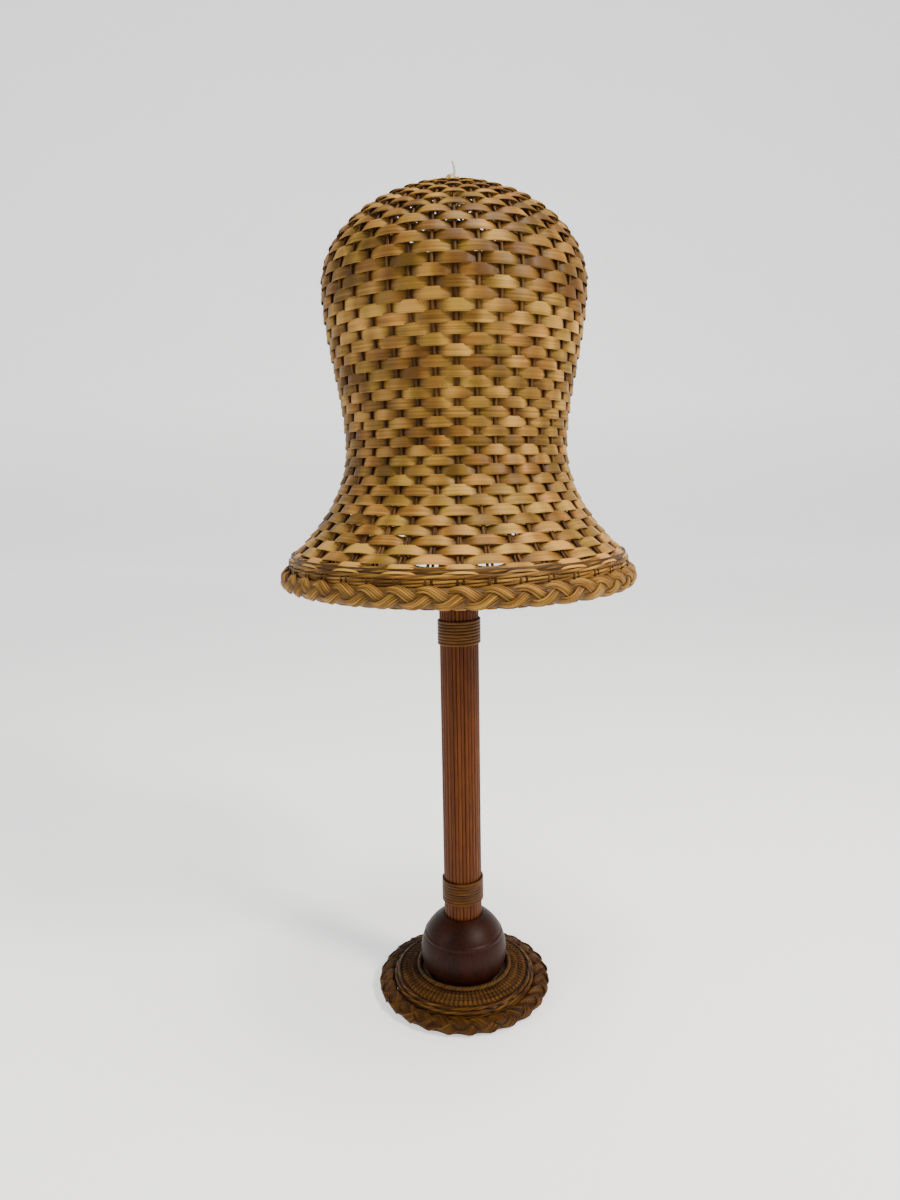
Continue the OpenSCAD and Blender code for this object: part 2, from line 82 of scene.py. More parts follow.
class Strands:
    """Sweeps gathered into one mesh, with each point's place along and across its strand."""

    def __init__(self):
        self.verts, self.quads, self.caps, self.reed, self.recess = [], [], [], [], []
        self.count = 0

    def sweep(self, path, side, up, section, tone, recess=None, closed=False):
        """Sweeps a section, given as points (side, up), along a path. side and up hold the path's own two
        directions at each point."""
        path, side, up = (np.asarray(a, float) for a in (path, side, up))
        section = np.asarray(section, float)
        n = len(path)
        if section.ndim == 2:
            section = np.broadcast_to(section, (n, *section.shape))
        m = section.shape[1]
        ring = path[:, None] + section[..., :1] * side[:, None] + section[..., 1:] * up[:, None]
        steps = np.linalg.norm(np.diff(path, axis=0), axis=1)
        along = np.concatenate([[0], np.cumsum(steps)]) + tone * 3.7
        rim = np.linalg.norm(np.diff(section[0], axis=0), axis=1)
        across = np.concatenate([[0], np.cumsum(rim)])
        data = np.zeros((n, m, 3))
        data[..., 0] = along[:, None]
        data[..., 1] = across[None]
        data[..., 2] = tone
        deep = np.zeros(n) if recess is None else np.asarray(recess, float)
        index = self.count + np.arange(n * m).reshape(n, m)
        a = index if closed else index[:-1]
        b = np.roll(index, -1, 0) if closed else index[1:]
        quads = np.stack([a, np.roll(a, -1, 1), np.roll(b, -1, 1), b], -1).reshape(-1, 4)
        self.verts.append(ring.reshape(-1, 3))
        self.quads.append(quads)
        if not closed:
            self.caps += [index[0][::-1].tolist(), index[-1].tolist()]
        self.reed.append(data.reshape(-1, 3))
        self.recess.append(np.repeat(deep, m))
        self.count += n * m

    def tube(self, path, radius, sides=8, tone=0.5, recess=None, closed=False, up=(0, 0, 1)):
        """A round strand along a path. up is a direction that the path never runs along."""
        path = np.asarray(path, float)
        step = np.roll(path, -1, 0) - np.roll(path, 1, 0) if closed else np.gradient(path, axis=0)
        step /= np.linalg.norm(step, axis=1)[:, None]
        up = np.broadcast_to(np.asarray(up, float), path.shape)
        side = np.cross(step, up)
        side /= np.linalg.norm(side, axis=1)[:, None]
        turn = np.linspace(0, TAU, sides, endpoint=False)
        section = np.stack([np.cos(turn), np.sin(turn)], -1)
        radius = np.broadcast_to(np.asarray(radius, float), len(path))
        self.sweep(path, side, np.cross(side, step), section[None] * radius[:, None, None],
                   tone, recess, closed)

    def build(self, name, material, body, slot, replaces=()):
        """Makes the mesh object, and lets it ride on a body."""
        verts = np.concatenate(self.verts)
        quads = np.concatenate(self.quads)
        mesh = bpy.data.meshes.new(name)
        sizes = [4] * len(quads) + [len(c) for c in self.caps]
        corners = np.concatenate([quads.reshape(-1)] + [np.array(c) for c in self.caps])
        mesh.vertices.add(len(verts))
        mesh.vertices.foreach_set("co", verts.reshape(-1))
        mesh.loops.add(len(corners))
        mesh.loops.foreach_set("vertex_index", corners.astype(np.int32))
        mesh.polygons.add(len(sizes))
        starts = np.concatenate([[0], np.cumsum(sizes)[:-1]])
        mesh.polygons.foreach_set("loop_start", starts.astype(np.int32))
        mesh.polygons.foreach_set("use_smooth", np.ones(len(sizes), bool))
        mesh.update(calc_edges=True)
        mesh.validate()
        reed = mesh.attributes.new("reed", "FLOAT_VECTOR", "POINT")
        reed.data.foreach_set("vector", np.concatenate(self.reed).reshape(-1))
        recess = mesh.attributes.new("recess", "FLOAT", "POINT")
        recess.data.foreach_set("value", np.concatenate(self.recess))
        return place(bpy.data.objects.new(name, mesh), material, body, replaces)


def place(piece, material, body, replaces=()):
    """Gives a new object its material and its body."""
    bpy.context.scene.collection.objects.link(piece)
    piece.data.materials.append(material)
    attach(piece, body)
    if replaces:
        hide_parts(*replaces)
    return piece


def around(turn, radius, height):
    """Points at an angle, a radius and a height round the lamp's axis."""
    turn, radius, height = np.broadcast_arrays(turn, radius, height)
    return np.stack([radius * np.cos(turn), radius * np.sin(turn), height], -1)


def lathe(outline, steps=128):
    """Verts and faces of an outline of (radius, height) turned round the lamp's axis."""
    outline = np.asarray(outline, float)
    turn = np.linspace(0, TAU, steps, endpoint=False)
    verts = around(turn[:, None], outline[None, :, 0], outline[None, :, 1])
    index = np.arange(verts.shape[0] * verts.shape[1]).reshape(verts.shape[:2])
    nxt = np.roll(index, -1, 0)
    faces = np.stack([index[:, :-1], nxt[:, :-1], nxt[:, 1:], index[:, 1:]], -1).reshape(-1, 4)
    return verts.reshape(-1, 3), faces


def turned(name, outline, material, body, replaces=(), steps=128, sharp_angle=50):
    """A lathe-turned piece. Its outline starts and ends on the axis, or at a bore."""
    verts, faces = lathe(outline, steps)
    mesh = bpy.data.meshes.new(name)
    mesh.from_pydata(verts.tolist(), [], faces.tolist())
    mesh.validate()
    piece = place(bpy.data.objects.new(name, mesh), material, body, replaces)
    bpy.context.view_layer.objects.active = piece
    weld = piece.modifiers.new("weld", "WELD")
    weld.merge_threshold = WELD
    bpy.context.view_layer.update()
    mesh.shade_smooth()
    for edge in mesh.edges:
        edge.use_edge_sharp = False
    mesh.set_sharp_from_angle(angle=math.radians(sharp_angle))
    return piece


# ---------------------------------------------------------------- materials

class Nodes:
    """A short way to write a node material."""

    def __init__(self, name):
        self.material = bpy.data.materials.new(name)
        self.material.use_nodes = True
        self.tree = self.material.node_tree
        self.shader = self.tree.nodes["Principled BSDF"]

    def add(self, kind, **values):
        node = self.tree.nodes.new("ShaderNode" + kind)
        for key, value in values.items():
            setattr(node, key, value)
        return node

    def link(self, source, target):
        self.tree.links.new(source, target)

    def put(self, socket, value):
        """Sets a socket to a value, or links it to another socket."""
        if isinstance(value, bpy.types.NodeSocket):
            self.link(value, socket)
        else:
            socket.default_value = value

    def math(self, operation, a, b=0.0, clamp=False):
        node = self.add("Math", operation=operation, use_clamp=clamp)
        self.put(node.inputs[0], a)
        self.put(node.inputs[1], b)
        return node.outputs[0]

    def vector(self, x, y, z):
        node = self.add("CombineXYZ")
        for socket, value in zip(node.inputs, (x, y, z)):
            self.put(socket, value)
        return node.outputs[0]

    def split(self, vector):
        node = self.add("SeparateXYZ")
        self.link(vector, node.inputs[0])
        return node.outputs

    def noise(self, vector, scale=1.0, detail=3.0, roughness=0.55):
        node = self.add("TexNoise")
        self.link(vector, node.inputs["Vector"])
        node.inputs["Scale"].default_value = scale
        node.inputs["Detail"].default_value = detail
        node.inputs["Roughness"].default_value = roughness
        return node.outputs["Fac"]

    def ramp(self, value, *stops):
        """Colours along a value from 0 to 1, each stop being (place, colour)."""
        node = self.add("ValToRGB")
        self.link(value, node.inputs[0])
        ramp = node.color_ramp
        while len(ramp.elements) < len(stops):
            ramp.elements.new(0.5)
        for element, (place_, colour) in zip(ramp.elements, stops):
            element.position = place_
            element.color = (*colour, 1)
        return node.outputs[0]

    def mix(self, factor, a, b, blend="MIX"):
        node = self.add("Mix", data_type="RGBA", blend_type=blend)
        self.put(node.inputs[0], factor)
        for socket, value in ((node.inputs[6], a), (node.inputs[7], b)):
            self.put(socket, (*value, 1) if isinstance(value, tuple) else value)
        return node.outputs[2]

    def bump(self, height, distance, strength=1.0):
        node = self.add("Bump")
        node.inputs["Distance"].default_value = distance
        node.inputs["Strength"].default_value = strength
        self.link(height, node.inputs["Height"])
        self.link(node.outputs[0], self.shader.inputs["Normal"])

    def finish(self, colour, roughness, **values):
        self.put(self.shader.inputs["Base Color"], colour)
        self.put(self.shader.inputs["Roughness"], roughness)
        for key, value in values.items():
            self.shader.inputs[key.replace("_", " ")].default_value = value
        return self.material


def reed_material(name, dark, mid, light, recess_shade, roughness=0.5, coat=0.12, fibre=1.0, variety=1.0):
    """Reed or cane: long fibres, a tone for each strand, blotches, and painted shade in the recesses, mixed
    in by the recess attribute.
    """
    n = Nodes(name)
    reed = n.add("Attribute", attribute_name="reed").outputs["Vector"]
    recess = n.add("Attribute", attribute_name="recess").outputs["Fac"]
    along, across, tone = n.split(reed)
    fibres = n.noise(n.vector(n.math("MULTIPLY", along, 14), n.math("MULTIPLY", across, 1500 * fibre),
                              n.math("MULTIPLY", tone, 41)), detail=4)
    streaks = n.noise(n.vector(n.math("MULTIPLY", along, 5), n.math("MULTIPLY", across, 420 * fibre),
                               n.math("MULTIPLY", tone, 17)), detail=2)
    blotches = n.noise(n.vector(n.math("MULTIPLY", along, 30), 0.0, n.math("MULTIPLY", tone, 97)), detail=1)
    hue = n.noise(n.vector(n.math("MULTIPLY", along, 19), 0.0, n.math("MULTIPLY", tone, 53)), detail=1)
    value = n.math("ADD", n.math("MULTIPLY", n.math("SUBTRACT", blotches, 0.5), 2.3 * variety),
                   n.math("MULTIPLY", n.math("SUBTRACT", tone, 0.5), 0.55 * variety))
    value = n.math("ADD", value, n.math("MULTIPLY", n.math("SUBTRACT", streaks, 0.5), 0.9))
    value = n.math("ADD", value, 0.42, clamp=True)
    colour = n.ramp(value, (0.0, dark), (0.45, mid), (0.95, light))
    tint = n.ramp(hue, (0.36, (0.86, 1.0, 0.72)), (0.5, (1, 1, 1)), (0.64, (1.0, 0.84, 0.82)))
    colour = n.mix(min(0.8 * variety, 1.0), colour, tint, "MULTIPLY")
    lines = n.ramp(fibres, (0.30, (0.55, 0.5, 0.45)), (0.46, (1, 1, 1)))
    colour = n.mix(0.55, colour, lines, "MULTIPLY")
    # painted shade: the colour is pulled towards the dark recess colour where the recess attribute is high
    colour = n.mix(n.math("MULTIPLY", recess, 0.85, clamp=True), colour, recess_shade)
    n.bump(n.math("ADD", fibres, streaks), 0.25 * MM, 0.55)
    rough = n.math("ADD", n.math("MULTIPLY", fibres, 0.25), roughness - 0.12)
    return n.finish(colour, rough, Coat_Weight=coat, Coat_Roughness=0.35, Specular_IOR_Level=0.12)


def turned_wood_material(name, dark, light, roughness=0.25, coat=0.5, stretch=(6, 6, 1), scale=55):
    """Turned wood with grain along its axis, under varnish."""
    n = Nodes(name)
    place_ = n.add("TexCoord").outputs["Object"]
    mapping = n.add("Mapping")
    n.link(place_, mapping.inputs[0])
    mapping.inputs["Scale"].default_value = stretch
    grain = n.noise(mapping.outputs[0], scale, 5, 0.6)
    broad = n.noise(mapping.outputs[0], scale / 8, 2)
    colour = n.ramp(n.math("ADD", n.math("MULTIPLY", grain, 0.55), n.math("MULTIPLY", broad, 0.5)),
                    (0.35, dark), (0.75, light))
    n.bump(grain, 0.12 * MM, 0.35)
    rough = n.math("ADD", n.math("MULTIPLY", grain, 0.15), roughness - 0.07)
    return n.finish(colour, rough, Coat_Weight=coat, Coat_Roughness=0.3, Specular_IOR_Level=0.14)


def metal_material(name, colour, worn, roughness=0.3, scale=220):
    """Metal with fine brushing and slight tarnish."""
    n = Nodes(name)
    place_ = n.add("TexCoord").outputs["Object"]
    mapping = n.add("Mapping")
    n.link(place_, mapping.inputs[0])
    mapping.inputs["Scale"].default_value = (1, 1, 7)
    brush = n.noise(mapping.outputs[0], scale, 4, 0.6)
    patches = n.noise(place_, scale / 9, 3)
    tint = n.ramp(patches, (0.35, worn), (0.62, colour))
    n.bump(brush, 0.05 * MM, 0.3)
    rough = n.math("ADD", n.math("MULTIPLY", brush, 0.25), roughness - 0.1)
    return n.finish(tint, rough, Metallic=1.0)


def matte_material(name, dark, light, roughness=0.8, scale=900, bump=0.2, metallic=0.0):
    """A plain matte stuff with a fine grain: felt, card, plastic, cast iron or bare wood."""
    n = Nodes(name)
    place_ = n.add("TexCoord").outputs["Object"]
    grain = n.noise(place_, scale, 4, 0.65)
    patches = n.noise(place_, scale / 14, 2)
    colour = n.ramp(n.math("ADD", n.math("MULTIPLY", grain, 0.6), n.math("MULTIPLY", patches, 0.4)),
                    (0.35, dark), (0.65, light))
    n.bump(grain, bump * MM, 0.6)
    rough = n.math("ADD", n.math("MULTIPLY", grain, 0.15), roughness - 0.07)
    return n.finish(colour, rough, Metallic=metallic)


# the colour of the painted shade in the reed's recesses
RECESS_SHADE = (0.014, 0.004, 0.0008)
shade_reed = reed_material("shade_reed", (0.092, 0.042, 0.006), (0.205, 0.104, 0.018), (0.46, 0.25, 0.056),
                           RECESS_SHADE, coat=0.04, variety=0.85)
# the spokes' colours are darkened to paint the shade they lie in behind the weavers
spoke_reed = reed_material("spoke_reed", (0.05, 0.020, 0.003), (0.12, 0.052, 0.010), (0.22, 0.105, 0.025),
                           RECESS_SHADE, coat=0.0, fibre=0.6)
rim_reed = reed_material("rim_reed", (0.085, 0.034, 0.004), (0.22, 0.106, 0.018), (0.40, 0.21, 0.044),
                         RECESS_SHADE, coat=0.04, fibre=0.8, variety=0.8)
foot_reed = reed_material("foot_reed", (0.034, 0.011, 0.001), (0.092, 0.036, 0.0045), (0.17, 0.074, 0.011),
                          RECESS_SHADE, coat=0.03, fibre=0.8)
pale_reed = reed_material("pale_reed", (0.050, 0.020, 0.003), (0.088, 0.038, 0.007), (0.125, 0.060, 0.013),
                          RECESS_SHADE, coat=0.03, fibre=0.5, variety=0.6)
pole_reed = reed_material("pole_reed", (0.056, 0.0115, 0.0001), (0.084, 0.0195, 0.0002),
                          (0.115, 0.030, 0.0005), RECESS_SHADE, roughness=0.42, coat=0.04, fibre=0.9, variety=0.5)
cane_gold = reed_material("cane_gold", (0.038, 0.0115, 0.0003), (0.078, 0.026, 0.0006), (0.120, 0.045, 0.002),
                          RECESS_SHADE, roughness=0.4, coat=0.06, variety=0.7)
cane_dark = reed_material("cane_dark", (0.032, 0.011, 0.001), (0.078, 0.028, 0.0025), (0.130, 0.052, 0.007),
                          (0.010, 0.004, 0.001), roughness=0.45, coat=0.05, variety=0.7)
cotton = reed_material("cotton", (0.50, 0.49, 0.46), (0.66, 0.65, 0.62), (0.76, 0.75, 0.72),
                       (0.35, 0.33, 0.30), roughness=0.85, coat=0.0, variety=0.3)
ball_wood = turned_wood_material("ball_wood", (0.007, 0.0010, 0.0001), (0.034, 0.0062, 0.0004), 0.48, 0.0)
cap_wood = turned_wood_material("cap_wood", (0.10, 0.04, 0.015), (0.22, 0.10, 0.04), coat=0.2)
board_wood = turned_wood_material("board_wood", (0.32, 0.20, 0.10), (0.52, 0.36, 0.20),
                                  0.6, 0.0, (1, 8, 8), 30)
brass = metal_material("brass", (0.78, 0.56, 0.24), (0.55, 0.36, 0.14))
steel = metal_material("steel", (0.62, 0.62, 0.63), (0.42, 0.42, 0.43))
aluminium = metal_material("aluminium", (0.82, 0.82, 0.83), (0.66, 0.66, 0.68), 0.22)
felt = matte_material("felt", (0.055, 0.06, 0.035), (0.13, 0.14, 0.08), 0.95, 1400, 0.5)
iron = matte_material("iron", (0.03, 0.03, 0.032), (0.09, 0.09, 0.09), 0.6, 700, 0.4, 0.8)
card = matte_material("card", (0.48, 0.38, 0.24), (0.66, 0.56, 0.38), 0.85, 800, 0.1)
insulator = matte_material("insulator", (0.60, 0.56, 0.46), (0.76, 0.72, 0.62), 0.4, 500, 0.05)
black_plastic = matte_material("black_plastic", (0.010, 0.010, 0.010), (0.028, 0.028, 0.028), 0.32, 600, 0.04)
bushing_brown = matte_material("bushing_brown", (0.035, 0.018, 0.010), (0.075, 0.042, 0.024), 0.45, 600, 0.06)


def glass_material(name):
    """White-coated bulb glass that is very slightly uneven."""
    n = Nodes(name)
    place_ = n.add("TexCoord").outputs["Object"]
    coating = n.noise(place_, 60, 3)
    colour = n.ramp(coating, (0.3, (0.80, 0.79, 0.75)), (0.7, (0.90, 0.89, 0.86)))
    rough = n.math("ADD", n.math("MULTIPLY", coating, 0.1), 0.12)
    return n.finish(colour, rough, Transmission_Weight=0.25, IOR=1.45, Coat_Weight=0.4, Coat_Roughness=0.05)


bulb_white = glass_material("bulb_glass")


# ---------------------------------------------------------------- the shade's surface

def outline(t):
    """The shade's outer outline as (radius, height), for t from 0 at the skirt's edge to 3 at the crown."""
    t = np.asarray(t, float)
    up = np.clip(t, 0, 1)
    body = np.clip(t - 1, 0, 1)
    dome = np.clip(t - 2, 0, 1) * math.pi / 2
    radius = np.where(
        t < 1, WAIST_R + (SKIRT_R - WAIST_R) * (1 - up) ** SKIRT_POWER,
        np.where(t < 2, WAIST_R + (BELLY_R - WAIST_R) * (3 - 2 * body) * body ** 2, BELLY_R * np.cos(dome)))
    height = np.where(
        t < 1, SKIRT_Z + SKIRT_H * up,
        np.where(t < 2, WAIST_Z + (BELLY_Z - WAIST_Z) * body, BELLY_Z + DOME_H * np.sin(dome)))
    return radius, height


class Surface:
    """The middle surface of the weave, by length along its outline from the skirt's edge."""

    def __init__(self):
        radius, height = outline(np.linspace(0, 3, 1501))
        slope = np.stack([np.gradient(radius), np.gradient(height)], -1)
        slope /= np.linalg.norm(slope, axis=1)[:, None]
        out = np.stack([slope[:, 1], -slope[:, 0]], -1)
        self.radius = radius - WEAVE_DEPTH * out[:, 0]
        self.height = height - WEAVE_DEPTH * out[:, 1]
        steps = np.hypot(np.diff(self.radius), np.diff(self.height))
        self.length = np.concatenate([[0], np.cumsum(steps)])
        self.slope, self.out = slope, out

    def at(self, s):
        """Radius, height, upward slope and outward normal, the last two as (radial, height) pairs."""
        def look(values):
            return np.interp(s, self.length, values)
        return (look(self.radius), look(self.height),
                np.stack([look(self.slope[:, 0]), look(self.slope[:, 1])], -1),
                np.stack([look(self.out[:, 0]), look(self.out[:, 1])], -1))

    def end_of(self, radius):
        """The length at which the dome narrows to a radius."""
        top = np.argmax(self.height > BELLY_Z - WEAVE_DEPTH)
        return np.interp(-radius, -self.radius[top:], self.length[top:])


surface = Surface()
WHOLE = surface.length[-1]


def spin(pairs, turn):
    """Turns (radial, height) directions to an angle round the axis."""
    return np.stack([pairs[..., 0] * np.cos(turn), pairs[..., 0] * np.sin(turn), pairs[..., 1]], -1)


def pair_gap(s):
    """Distance between the two spokes of a pair: they part towards the skirt's edge."""
    return 6.5 * MM * np.clip(1 - s / (95 * MM), 0, 1) ** 1.3


def row_pitch(s):
    """Height of one row of weaving."""
    places = np.array([0, 60, 120, 165, 215, 300, 420, 560]) * MM
    pitches = np.array([12.9, 12.6, 11.2, 9.9, 10.6, 11.4, 11.0, 10.6]) * MM
    return np.interp(s, places, pitches)


# A flat weaver's section, for a half width and a half thickness of 1
FLAT_REED = np.array([(-1, 0), (-0.93, 0.72), (-0.7, 1), (0.7, 1), (0.93, 0.72), (1, 0),
                      (0.9, -0.85), (-0.9, -0.85)])
FLAT_REACH = 0.60                # a flat weaver's half width as a share of its row: over half, so rows lap
ROUND_REACH = 0.48               # the same for the round reed near the crown
DOME_PITCH = 8.4 * MM            # rows where half the spokes are left
CROWN_PITCH = 3.4 * MM           # rows of round reed where a quarter are left
STEPS_PER_WAVE = 18              # one wave goes over one spoke and under the next
DIP_WIDTH = 1.12                 # how much of a wave, in radians, a weaver spends behind its spoke
# EDGE_PLACE, EDGE_WIDTH, DIP_DARK and EDGE_DARK set the painted shade in a weaver's recess: in its dip behind
# a spoke and beside the spoke
EDGE_PLACE, EDGE_WIDTH = 0.3, 0.33      # where beside a spoke the recess is darkest, and how widely
DIP_SHARE, WAVE_SHARE = 0.70, 0.30      # the weaver's path: a sharp dip and a plain wave
DIP_DARK, EDGE_DARK = 0.30, 0.62
WINDOW_TOP = 9.9                 # about pi squared, which makes the wobble's window 1 half-way round
LEAN, LEAN_SPREAD = 9.5, 1.2     # degrees by which a weaver's upper edge tips in under the next row
HALF_SPOKES_R = 62 * MM          # inside this radius every other spoke has ended
QUARTER_SPOKES_R = 30 * MM       # inside this one, every other of those
INNERMOST_R = 11 * MM
RING_ASPECT = {"shade_rim_braid": 12.5 / 13.9, "base_braid": 12 / 8.5}     # width over height


def weave(turn, spokes, row, gap_angle):
    """Which side of the spokes a weaver is on, from 1 outside to -1 inside, and how much painted shade its
    recess gets.
    """
    phase = spokes / 2 * turn + math.pi * row
    from_spoke = np.clip(np.abs((phase % TAU) - math.pi) - gap_angle, 0, None)
    dip = np.exp(-(from_spoke / DIP_WIDTH) ** 3)
    beside_spoke = np.exp(-((from_spoke - EDGE_PLACE) / EDGE_WIDTH) ** 2)
    side_of = DIP_SHARE * (1 - 2 * dip) + WAVE_SHARE * np.cos(phase)
    return side_of, DIP_DARK * dip + EDGE_DARK * beside_spoke


def weaver_row(strands, s, row, pitch, spokes, round_reed=False):
    """One round of weaving at a length along the outline."""
    waves = spokes // 2
    turn = np.linspace(0, TAU, waves * STEPS_PER_WAVE + 1)
    turn = turn + TAU * (row % 7) / waves + math.pi * (1 - row % 2) / waves
    wobble = sum(a * np.sin(k * turn + rng.uniform(0, TAU)) for k, a in ((3, 0.28), (7, 0.18), (13, 0.12)))
    place_ = s + 0.7 * wobble * MM * (turn[-1] - turn) * (turn - turn[0]) / WINDOW_TOP
    radius, height, slope, out = surface.at(place_)
    gap_angle = pair_gap(s) / 2 / radius * spokes / 2
    side_of, recess = weave(turn, spokes, row, gap_angle)
    swing = WEAVE_SWING * (1 + 0.06 * np.sin(5 * turn + rng.uniform(0, TAU)))
    if round_reed:
        swing = swing * 0.8
    centre = around(turn, radius, height) + spin(out, turn) * (swing * side_of)[:, None]
    tilt = math.radians(LEAN + rng.uniform(-LEAN_SPREAD, LEAN_SPREAD))
    up, outward = spin(slope, turn), spin(out, turn)
    across = up * math.cos(tilt) - outward * math.sin(tilt)
    facing = outward * math.cos(tilt) + up * math.sin(tilt)
    # painted light: rows towards the skirt's edge get a paler tone, standing in for the light that the
    # upward-facing skirt catches
    skirt_painted_light = np.clip(1 - s / (150 * MM), 0, 1)
    tone = rng.uniform(0, 0.75) + 0.9 * skirt_painted_light
    if round_reed:
        bend = np.linspace(0, TAU, 8, endpoint=False)
        section = np.stack([np.cos(bend), np.sin(bend)], -1) * pitch * ROUND_REACH
    else:
        section = FLAT_REED * [pitch * FLAT_REACH, REED_T / 2]
    strands.sweep(centre, across, facing, section, tone, recess)


def make_weave():
    rows, s = [], 2.6 * MM
    stop = surface.end_of(QUARTER_SPOKES_R)
    half = surface.end_of(HALF_SPOKES_R)
    while s < half:
        pitch = float(row_pitch(s))
        rows.append((s + pitch / 2, pitch, SPOKES, False))
        s += pitch
    while s < stop:
        rows.append((s + DOME_PITCH / 2, DOME_PITCH, SPOKES // 2, False))
        s += DOME_PITCH
    while s < surface.end_of(INNERMOST_R):
        rows.append((s + CROWN_PITCH / 2, CROWN_PITCH, SPOKES // 4, True))
        s += CROWN_PITCH
    thirds = {"shade_weave_" + third: Strands() for third in ("skirt", "body", "dome")}
    for row, (place_, pitch, spokes, round_reed) in enumerate(rows):
        height = surface.at(place_)[1]
        third = "skirt" if height < WAIST_Z + 40 * MM else "body" if height < BELLY_Z + 10 * MM else "dome"
        weaver_row(thirds["shade_weave_" + third], place_, row, pitch, spokes, round_reed)
    for name, strands in thirds.items():
        strands.build(name, shade_reed, "shade", "shade_reed", ["shade_weave"])


def make_spokes():
    """The spokes: pairs at the skirt, of which one stays above it. Half end on the dome, then a quarter."""
    strands = Strands()
    foot, pair_end, step = -9 * MM, 105 * MM, 7 * MM
    ends = [surface.end_of(HALF_SPOKES_R - 6 * MM), surface.end_of(QUARTER_SPOKES_R - 5 * MM),
            WHOLE - 9 * MM]
    for spoke in range(SPOKES):
        end = ends[2] if spoke % 4 == 0 else ends[1] if spoke % 2 == 0 else ends[0]
        for side in (-1, 1):
            top = end if side < 0 else pair_end
            s = np.concatenate([[foot], np.linspace(0, top, int(top / step))])
            radius, height, slope, _ = surface.at(np.clip(s, 0, None))
            below = np.clip(s, None, 0)
            radius = radius + slope[:, 0] * below * 0.3
            height = height + below
            turn = TAU * spoke / SPOKES + side * pair_gap(s) / 2 / radius
            wander = 0.35 * MM * np.sin(s * 21 + spoke * 2.4) / radius
            points = around(turn + wander, radius, height)
            # painted shade: every spoke gets a recess value of 0.55 along its whole length
            strands.tube(points, SPOKE_R * (0.97 if side > 0 else 1), 8, rng.uniform(0, 1),
                         np.full(len(s), 0.55), up=(-math.sin(turn[-1]), math.cos(turn[-1]), 0))
    strands.build("shade_spokes_reed", spoke_reed, "shade", "spoke_reed", ["shade_spokes"])


# ---------------------------------------------------------------- plaits and twists

def plait(strands, middle, half, tilt, spread, stitches, depth, strand_r, members=4, samples=20):
    """A three-part plait lying round a core, each part a flat group of round strands. middle and half give
    the core's section as (radius, height). The plait is centred at tilt degrees up from outwards, and wanders
    by spread degrees to each side."""
    count = stitches * samples
    turn = np.linspace(0, 3 * TAU, count, endpoint=False)
    phase = turn * stitches / 3
    lift = np.radians(tilt + spread * np.sin(phase))
    out = -depth * np.sin(2 * phase)
    path = around(turn, middle[0] + (half[0] + out) * np.cos(lift),
                  middle[1] + (half[1] + out) * np.sin(lift))
    face = np.stack([np.cos(lift) * half[1], np.sin(lift) * half[0]], -1)
    facing = spin(face / np.linalg.norm(face, axis=1)[:, None], turn)
    step = np.roll(path, -1, 0) - np.roll(path, 1, 0)
    step /= np.linalg.norm(step, axis=1)[:, None]
    beside = np.cross(step, facing)
    beside /= np.linalg.norm(beside, axis=1)[:, None]
    # painted shade where the plait's parts dip in under each other
    recess = np.clip(0.45 + 0.8 * np.sin(2 * phase), 0, 1) ** 1.5
    for member in range(members):
        place_ = (member - (members - 1) / 2) * strand_r * 1.95
        bow = (place_ / (members * strand_r)) ** 2 * strand_r * 1.2
        jitter = 0.15 * strand_r * np.sin(turn * 3 + rng.uniform(0, TAU))
        points = path + beside * (place_ + jitter[:, None]) - facing * bow
        # more painted shade towards each group's edges, between neighbouring strands
        edge = 0.25 * abs(place_) / (members * strand_r)
        strands.tube(points, strand_r * rng.uniform(0.95, 1.04), 7, rng.uniform(0, 1),
                     np.clip(recess + edge, 0, 1), True, up=facing)


def rope_round(strands, radius, height, twist_r, strand_r, twists, members=3, samples=12, start=0.0):
    """One round of twined strands."""
    turn = np.linspace(0, TAU, twists * samples * 2, endpoint=False)
    for member in range(members):
        phase = twists * turn + TAU * member / members + start
        points = around(turn, radius + twist_r * np.cos(phase), height + twist_r * np.sin(phase))
        # painted shade on each strand where it turns to the inside of the round
        strands.tube(points, strand_r, 7, rng.uniform(0, 1), 0.5 - 0.5 * np.cos(phase), True, up=(0, 0, 1))


def plain_hoop(strands, radius, height, half_w, half_h, steps=160, recess=0.6):
    """A plain core ring inside a plait, darkened all over with painted shade by its recess value."""
    turn = np.linspace(0, TAU, steps, endpoint=False)
    bend = np.linspace(0, TAU, 14, endpoint=False)
    section = np.stack([half_w * np.cos(bend), half_h * np.sin(bend)], -1)
    path = around(turn, radius, height)
    side = around(turn, 1.0, 0.0)
    up = np.broadcast_to(np.array([0.0, 0, 1]), side.shape)
    strands.sweep(path, side, up, section, rng.uniform(0, 1), np.full(steps, recess), True)


def section_of(node, inset):
    """A ring node's section, drawn in by inset: its middle and its half sizes, both as (radius, height)."""
    hi, lo_z = high(node), low(node)[2]
    half_h = (hi[2] - lo_z) / 2
    half_w = half_h * RING_ASPECT[node]
    return (hi[0] - half_w, lo_z + half_h), (half_w - inset, half_h - inset)


